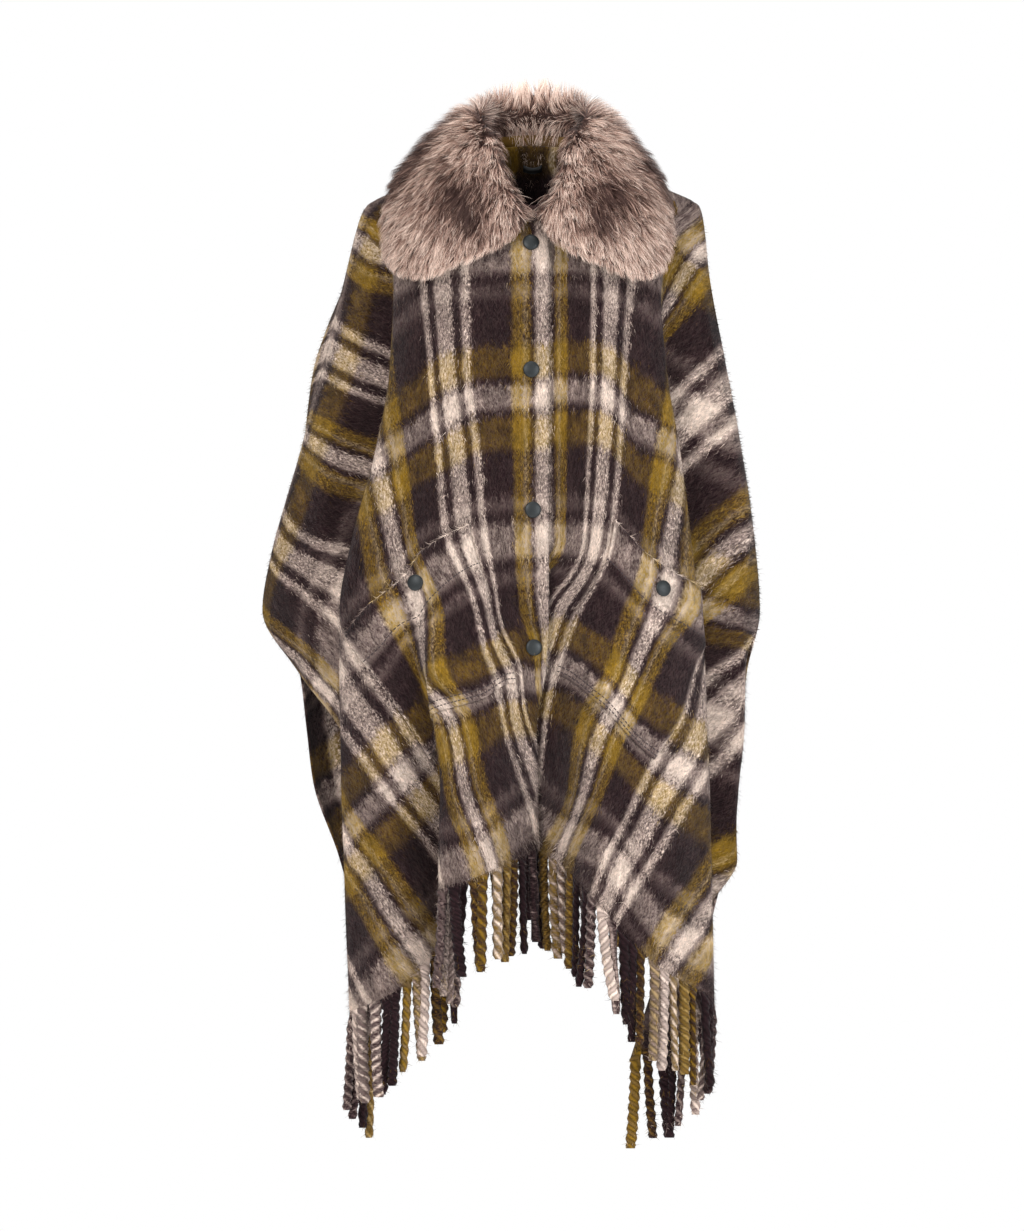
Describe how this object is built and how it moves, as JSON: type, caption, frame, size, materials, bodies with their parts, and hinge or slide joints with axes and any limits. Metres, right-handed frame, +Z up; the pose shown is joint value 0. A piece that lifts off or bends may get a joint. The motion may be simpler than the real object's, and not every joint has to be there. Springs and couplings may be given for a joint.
{
  "type": "plaid blanket cape",
  "caption": "Long open-sided blanket cape in brushed plaid wool with a wide fur collar, snap front, slanted patch pockets and twisted fringe, in its worn hollow shape.",
  "frame": {"origin": "middle of the neck at the height where the shoulders carry the cape", "axes": "+Z up, -Y towards the wearer's front, +X towards the wearer's left"},
  "size_m": [0.576, 0.4169, 1.2399],
  "materials": {
    "wool": "brushed woven wool in a dark brown, mustard and cream plaid, long soft nap",
    "fur": "long soft fur pile, taupe mottled with dark brown",
    "snap": "matt dark grey caps",
    "ribbon": "dark satin ribbon"
  },
  "bodies": {
    "root": {"front_right": "wool", "front_left": "wool", "back": "wool", "pocket_right": "wool", "pocket_left": "wool", "fringe_front_right": "wool", "fringe_front_left": "wool", "fringe_back": "wool", "collar": "fur", "snap_front_1": "snap", "snap_front_2": "snap", "snap_front_3": "snap", "snap_front_4": "snap", "snap_pocket_right": "snap", "snap_pocket_left": "snap", "hanger_loop": "ribbon"}
  },
  "joints": []
}
